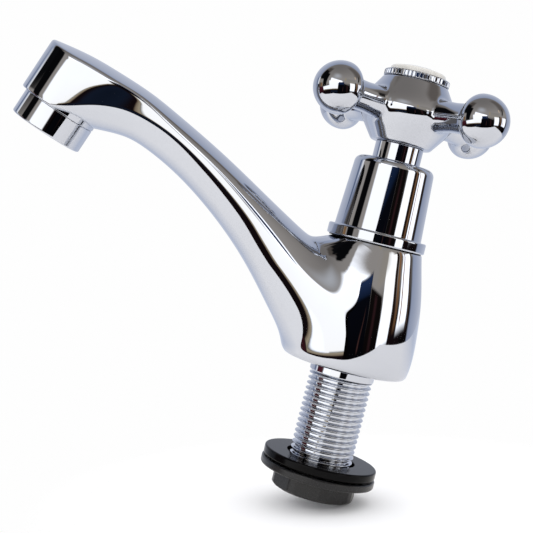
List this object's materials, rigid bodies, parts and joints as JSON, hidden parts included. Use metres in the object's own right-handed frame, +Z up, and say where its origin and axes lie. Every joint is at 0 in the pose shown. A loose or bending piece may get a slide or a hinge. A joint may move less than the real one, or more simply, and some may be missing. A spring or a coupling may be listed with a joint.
{
  "type": "basin pillar tap",
  "caption": "Chrome basin pillar tap with a swept spout, cross handle, threaded tail, rubber washer and plastic backnut.",
  "frame": {"origin": "centre of the body's underside, on the axis of the tail, where the tap sits on the basin", "axes": "+Z up along the tail and headwork axis, spout towards -X, the tap's mirror plane is y = 0"},
  "size_m": [0.1575, 0.0632, 0.1431],
  "materials": {
    "chrome": "polished chrome plate",
    "brass": "machined",
    "steel": "plain",
    "rubber": "smooth black",
    "fibre": "pressed fibre",
    "black_plastic": "moulded, fine grain",
    "grey_plastic": "moulded",
    "white_plastic": "glossy off-white"
  },
  "bodies": {
    "tap_body": {"body_casting": "chrome", "threaded_tail": "chrome", "tail_seal": "rubber", "headwork_washer": "fibre", "headwork_body": "brass", "thrust_washer": "fibre", "spindle_bush": "chrome", "bonnet_seal": "rubber", "bonnet_shroud": "chrome", "aerator_housing": "chrome", "aerator_seal": "rubber", "aerator_screen": "steel", "aerator_insert": "grey_plastic"},
    "handle": {"handle_cross": "chrome", "spindle": "brass", "spindle_orings": "rubber", "handle_screw": "steel", "index_ring": "chrome", "index_button": "white_plastic"},
    "valve": {"valve_plunger": "brass", "tap_washer": "rubber", "washer_screw": "brass"},
    "clamp_washer": {"backnut_washer": "rubber"},
    "clamp_nut": {"backnut": "black_plastic"}
  },
  "joints": [
    {"name": "handle_turn", "type": "hinge", "parent": "tap_body", "child": "handle", "pos_m": [0, 0, 0.0852], "axis": [0, 0, 1], "range_deg": [0, 990]},
    {"name": "valve_lift", "type": "slide", "parent": "tap_body", "child": "valve", "axis": [0, 0, 1], "range_m": [0, 0.0055]},
    {"name": "washer_travel", "type": "slide", "parent": "tap_body", "child": "clamp_washer", "axis": [0, 0, 1], "range_m": [0, 0.03]},
    {"name": "backnut_turn", "type": "hinge", "parent": "clamp_washer", "child": "clamp_nut", "pos_m": [0, 0, -0.038], "axis": [0, 0, 1], "range_deg": [0, 5953]}
  ],
  "couplings": [
    {"joint": "valve_lift", "follows": "handle_turn", "m_per_rad": 0.0003183},
    {"joint": "backnut_turn", "follows": "washer_travel", "rad_per_m": 3463.2}
  ]
}
